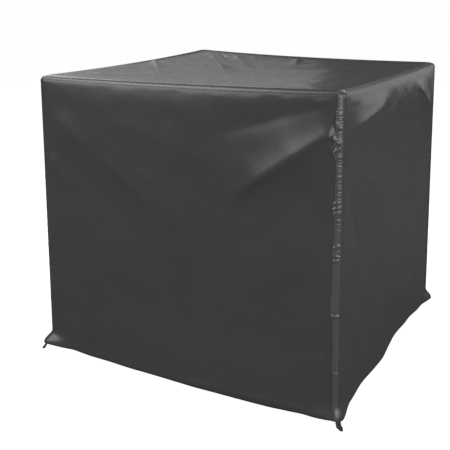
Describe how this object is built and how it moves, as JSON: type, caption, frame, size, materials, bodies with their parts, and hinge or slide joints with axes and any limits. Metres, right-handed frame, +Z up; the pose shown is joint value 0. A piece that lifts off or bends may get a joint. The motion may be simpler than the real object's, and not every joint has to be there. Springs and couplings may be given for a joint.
{
  "type": "air conditioner cover",
  "caption": "Fitted square cloth cover for an outdoor air conditioner, open underneath, with rolled rims, a sagging top, seam strips at its corners and loose tie ends.",
  "frame": {"origin": "under the middle of the top cloth, where the covered unit carries it", "axes": "+Z up, -Y out of the front wall, +X out of the right wall"},
  "size_m": [0.8719, 0.8589, 0.7764],
  "materials": {
    "coated_cloth": "satin coated woven cloth, dark grey",
    "seam_strip": "satin coated tape, dark grey, puckered",
    "tie_tape": "matt woven tape, near black"
  },
  "bodies": {
    "root": {"top_panel": "coated_cloth", "wall_front": "coated_cloth", "wall_right": "coated_cloth", "wall_back": "coated_cloth", "wall_left": "coated_cloth", "strip_near": "seam_strip", "strip_right_back": "seam_strip", "strip_back_left": "seam_strip", "strip_left_front": "seam_strip", "tie_near": "tie_tape", "tie_left": "tie_tape"}
  },
  "joints": []
}
